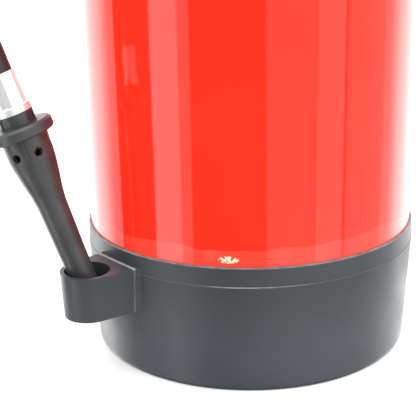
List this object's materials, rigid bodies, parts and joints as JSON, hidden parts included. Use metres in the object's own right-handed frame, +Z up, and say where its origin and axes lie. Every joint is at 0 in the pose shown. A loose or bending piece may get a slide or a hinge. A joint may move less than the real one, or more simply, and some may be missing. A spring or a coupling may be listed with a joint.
{
  "type": "fire extinguisher",
  "caption": "Upright stored-pressure fire extinguisher with squeeze-lever valve, pressure gauge, hose, and a base cup that holds the foam nozzle",
  "frame": {"origin": "centre of the base cup's flat underside, on the cylinder's axis", "axes": "+Z up along the cylinder, -Y the front with the gauge, -X the hose outlet, +X the handles"},
  "size_m": [0.315, 0.1937, 0.6152],
  "materials": {
    "red_paint": "glossy red powder coat over steel",
    "base_plastic": "dark grey moulded polypropylene, satin",
    "nozzle_plastic": "black moulded plastic",
    "hose_rubber": "black rubber hose cover",
    "seal_rubber": "black nitrile rubber",
    "brass": "machined brass",
    "plated_steel": "bright zinc-plated steel",
    "spring_steel": "stainless spring wire",
    "black_paint": "black powder coat on pressed steel",
    "ferrule_aluminium": "bright crimped aluminium",
    "gauge_glass": "clear lens",
    "dial_face": "white dial with coloured bands",
    "needle_paint": "black needle",
    "label_film": "plain printed film label",
    "dip_plastic": "natural polyethylene tube"
  },
  "bodies": {
    "root": {"body_tube": "red_paint", "bottom_dome": "red_paint", "top_dome": "red_paint", "shoulder_weld": "red_paint", "neck_ring": "red_paint", "neck_weld": "red_paint", "wall_hanger": "red_paint", "base_cup": "base_plastic", "label": "label_film", "neck_gasket": "seal_rubber", "valve_body": "brass", "stem_o_ring": "seal_rubber", "valve_spring": "spring_steel", "spring_retainer": "brass", "dip_tube": "dip_plastic", "dip_strainer": "dip_plastic", "carry_handle": "black_paint", "handle_rivets": "plated_steel", "lever_pivot_pin": "plated_steel", "gauge_case": "brass", "gauge_dial": "dial_face", "gauge_lens": "gauge_glass", "hose_nut": "brass", "hose_tail": "brass", "upper_ferrule": "ferrule_aluminium", "hose": "hose_rubber"},
    "lever": {"squeeze_lever": "black_paint"},
    "stem": {"valve_stem": "brass", "poppet_seal": "seal_rubber"},
    "pin": {"safety_pin": "plated_steel"},
    "ring": {"pull_ring": "plated_steel"},
    "needle": {"gauge_needle": "needle_paint"},
    "nozzle": {"nozzle_body": "nozzle_plastic", "nozzle_jet": "brass", "nozzle_tail": "brass", "lower_ferrule": "ferrule_aluminium"}
  },
  "joints": [
    {"name": "lever_pivot", "type": "hinge", "parent": "root", "child": "lever", "pos_m": [-0.016, 0, 0.584], "axis": [0, 1, 0], "range_deg": [0, 10], "stiffness_Nm_per_rad": 1.5, "springref_deg": -8.59},
    {"name": "stem_slide", "type": "slide", "parent": "root", "child": "stem", "axis": [0, 0, -1], "range_m": [0, 0.0029], "deforming": ["valve_spring"]},
    {"name": "safety_pin_pull", "type": "slide", "parent": "root", "child": "pin", "axis": [0, -1, 0], "range_m": [0, 0.045]},
    {"name": "ring_swing", "type": "hinge", "parent": "pin", "child": "ring", "pos_m": [0.016, -0.024, 0.582], "axis": [-1, 0, 0], "range_deg": [-8, 80]},
    {"name": "needle_turn", "type": "hinge", "parent": "root", "child": "needle", "pos_m": [0, -0.03, 0.546], "axis": [0, -1, 0], "range_deg": [-60, 60]},
    {"name": "nozzle_lift", "type": "slide", "parent": "root", "child": "nozzle", "axis": [-0.3173, 0, 0.9483], "range_m": [0, 0.045], "deforming": ["hose"]}
  ],
  "couplings": [
    {"joint": "stem_slide", "follows": "lever_pivot", "m_per_rad": 0.016}
  ]
}
